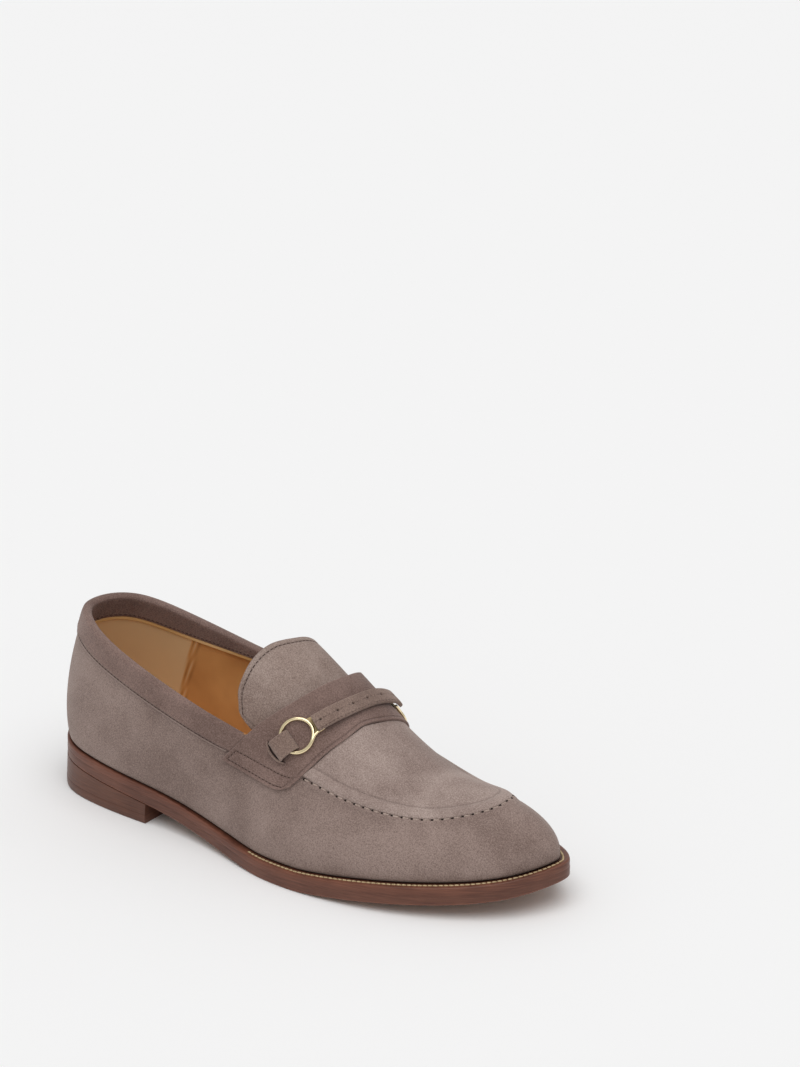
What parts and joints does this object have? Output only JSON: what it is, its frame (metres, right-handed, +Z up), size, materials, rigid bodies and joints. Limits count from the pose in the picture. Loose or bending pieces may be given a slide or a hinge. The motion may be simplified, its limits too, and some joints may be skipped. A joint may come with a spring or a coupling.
{
  "type": "bit loafer",
  "caption": "Slip-on loafer with a raised apron seam and a saddle strap that carries a ring and bar ornament over the instep, on a stacked leather sole and heel.",
  "frame": {"origin": "middle of the bounding box in plan, on the floor", "axes": "+X from the heel to the toe, +Y to the inner (medial) side of the foot, +Z up"},
  "size_m": [0.303, 0.1058, 0.1072],
  "materials": {
    "suede": "matt napped suede, taupe",
    "suede_trim": "matt napped suede, a little darker taupe",
    "lining_leather": "smooth tan calf",
    "sole_leather": "brown leather, waxed edge",
    "welt_leather": "reddish brown leather, waxed edge",
    "heel_leather": "dark brown stacked leather, waxed",
    "heel_rubber": "dark brown, satin",
    "cork": "raw cork",
    "brass": "polished pale brass"
  },
  "bodies": {
    "root": {"outsole": "sole_leather", "welt": "welt_leather", "filler": "cork", "insole": "lining_leather", "heel_stack": "heel_leather", "top_piece": "heel_rubber", "upper": "suede", "apron": "suede", "tongue": "suede", "collar_band": "suede_trim", "saddle_strap": "suede_trim", "bit_bar": "suede_trim", "loop_lateral": "suede_trim", "loop_medial": "suede_trim", "bit_ring_lateral": "brass", "bit_ring_medial": "brass"}
  },
  "joints": []
}
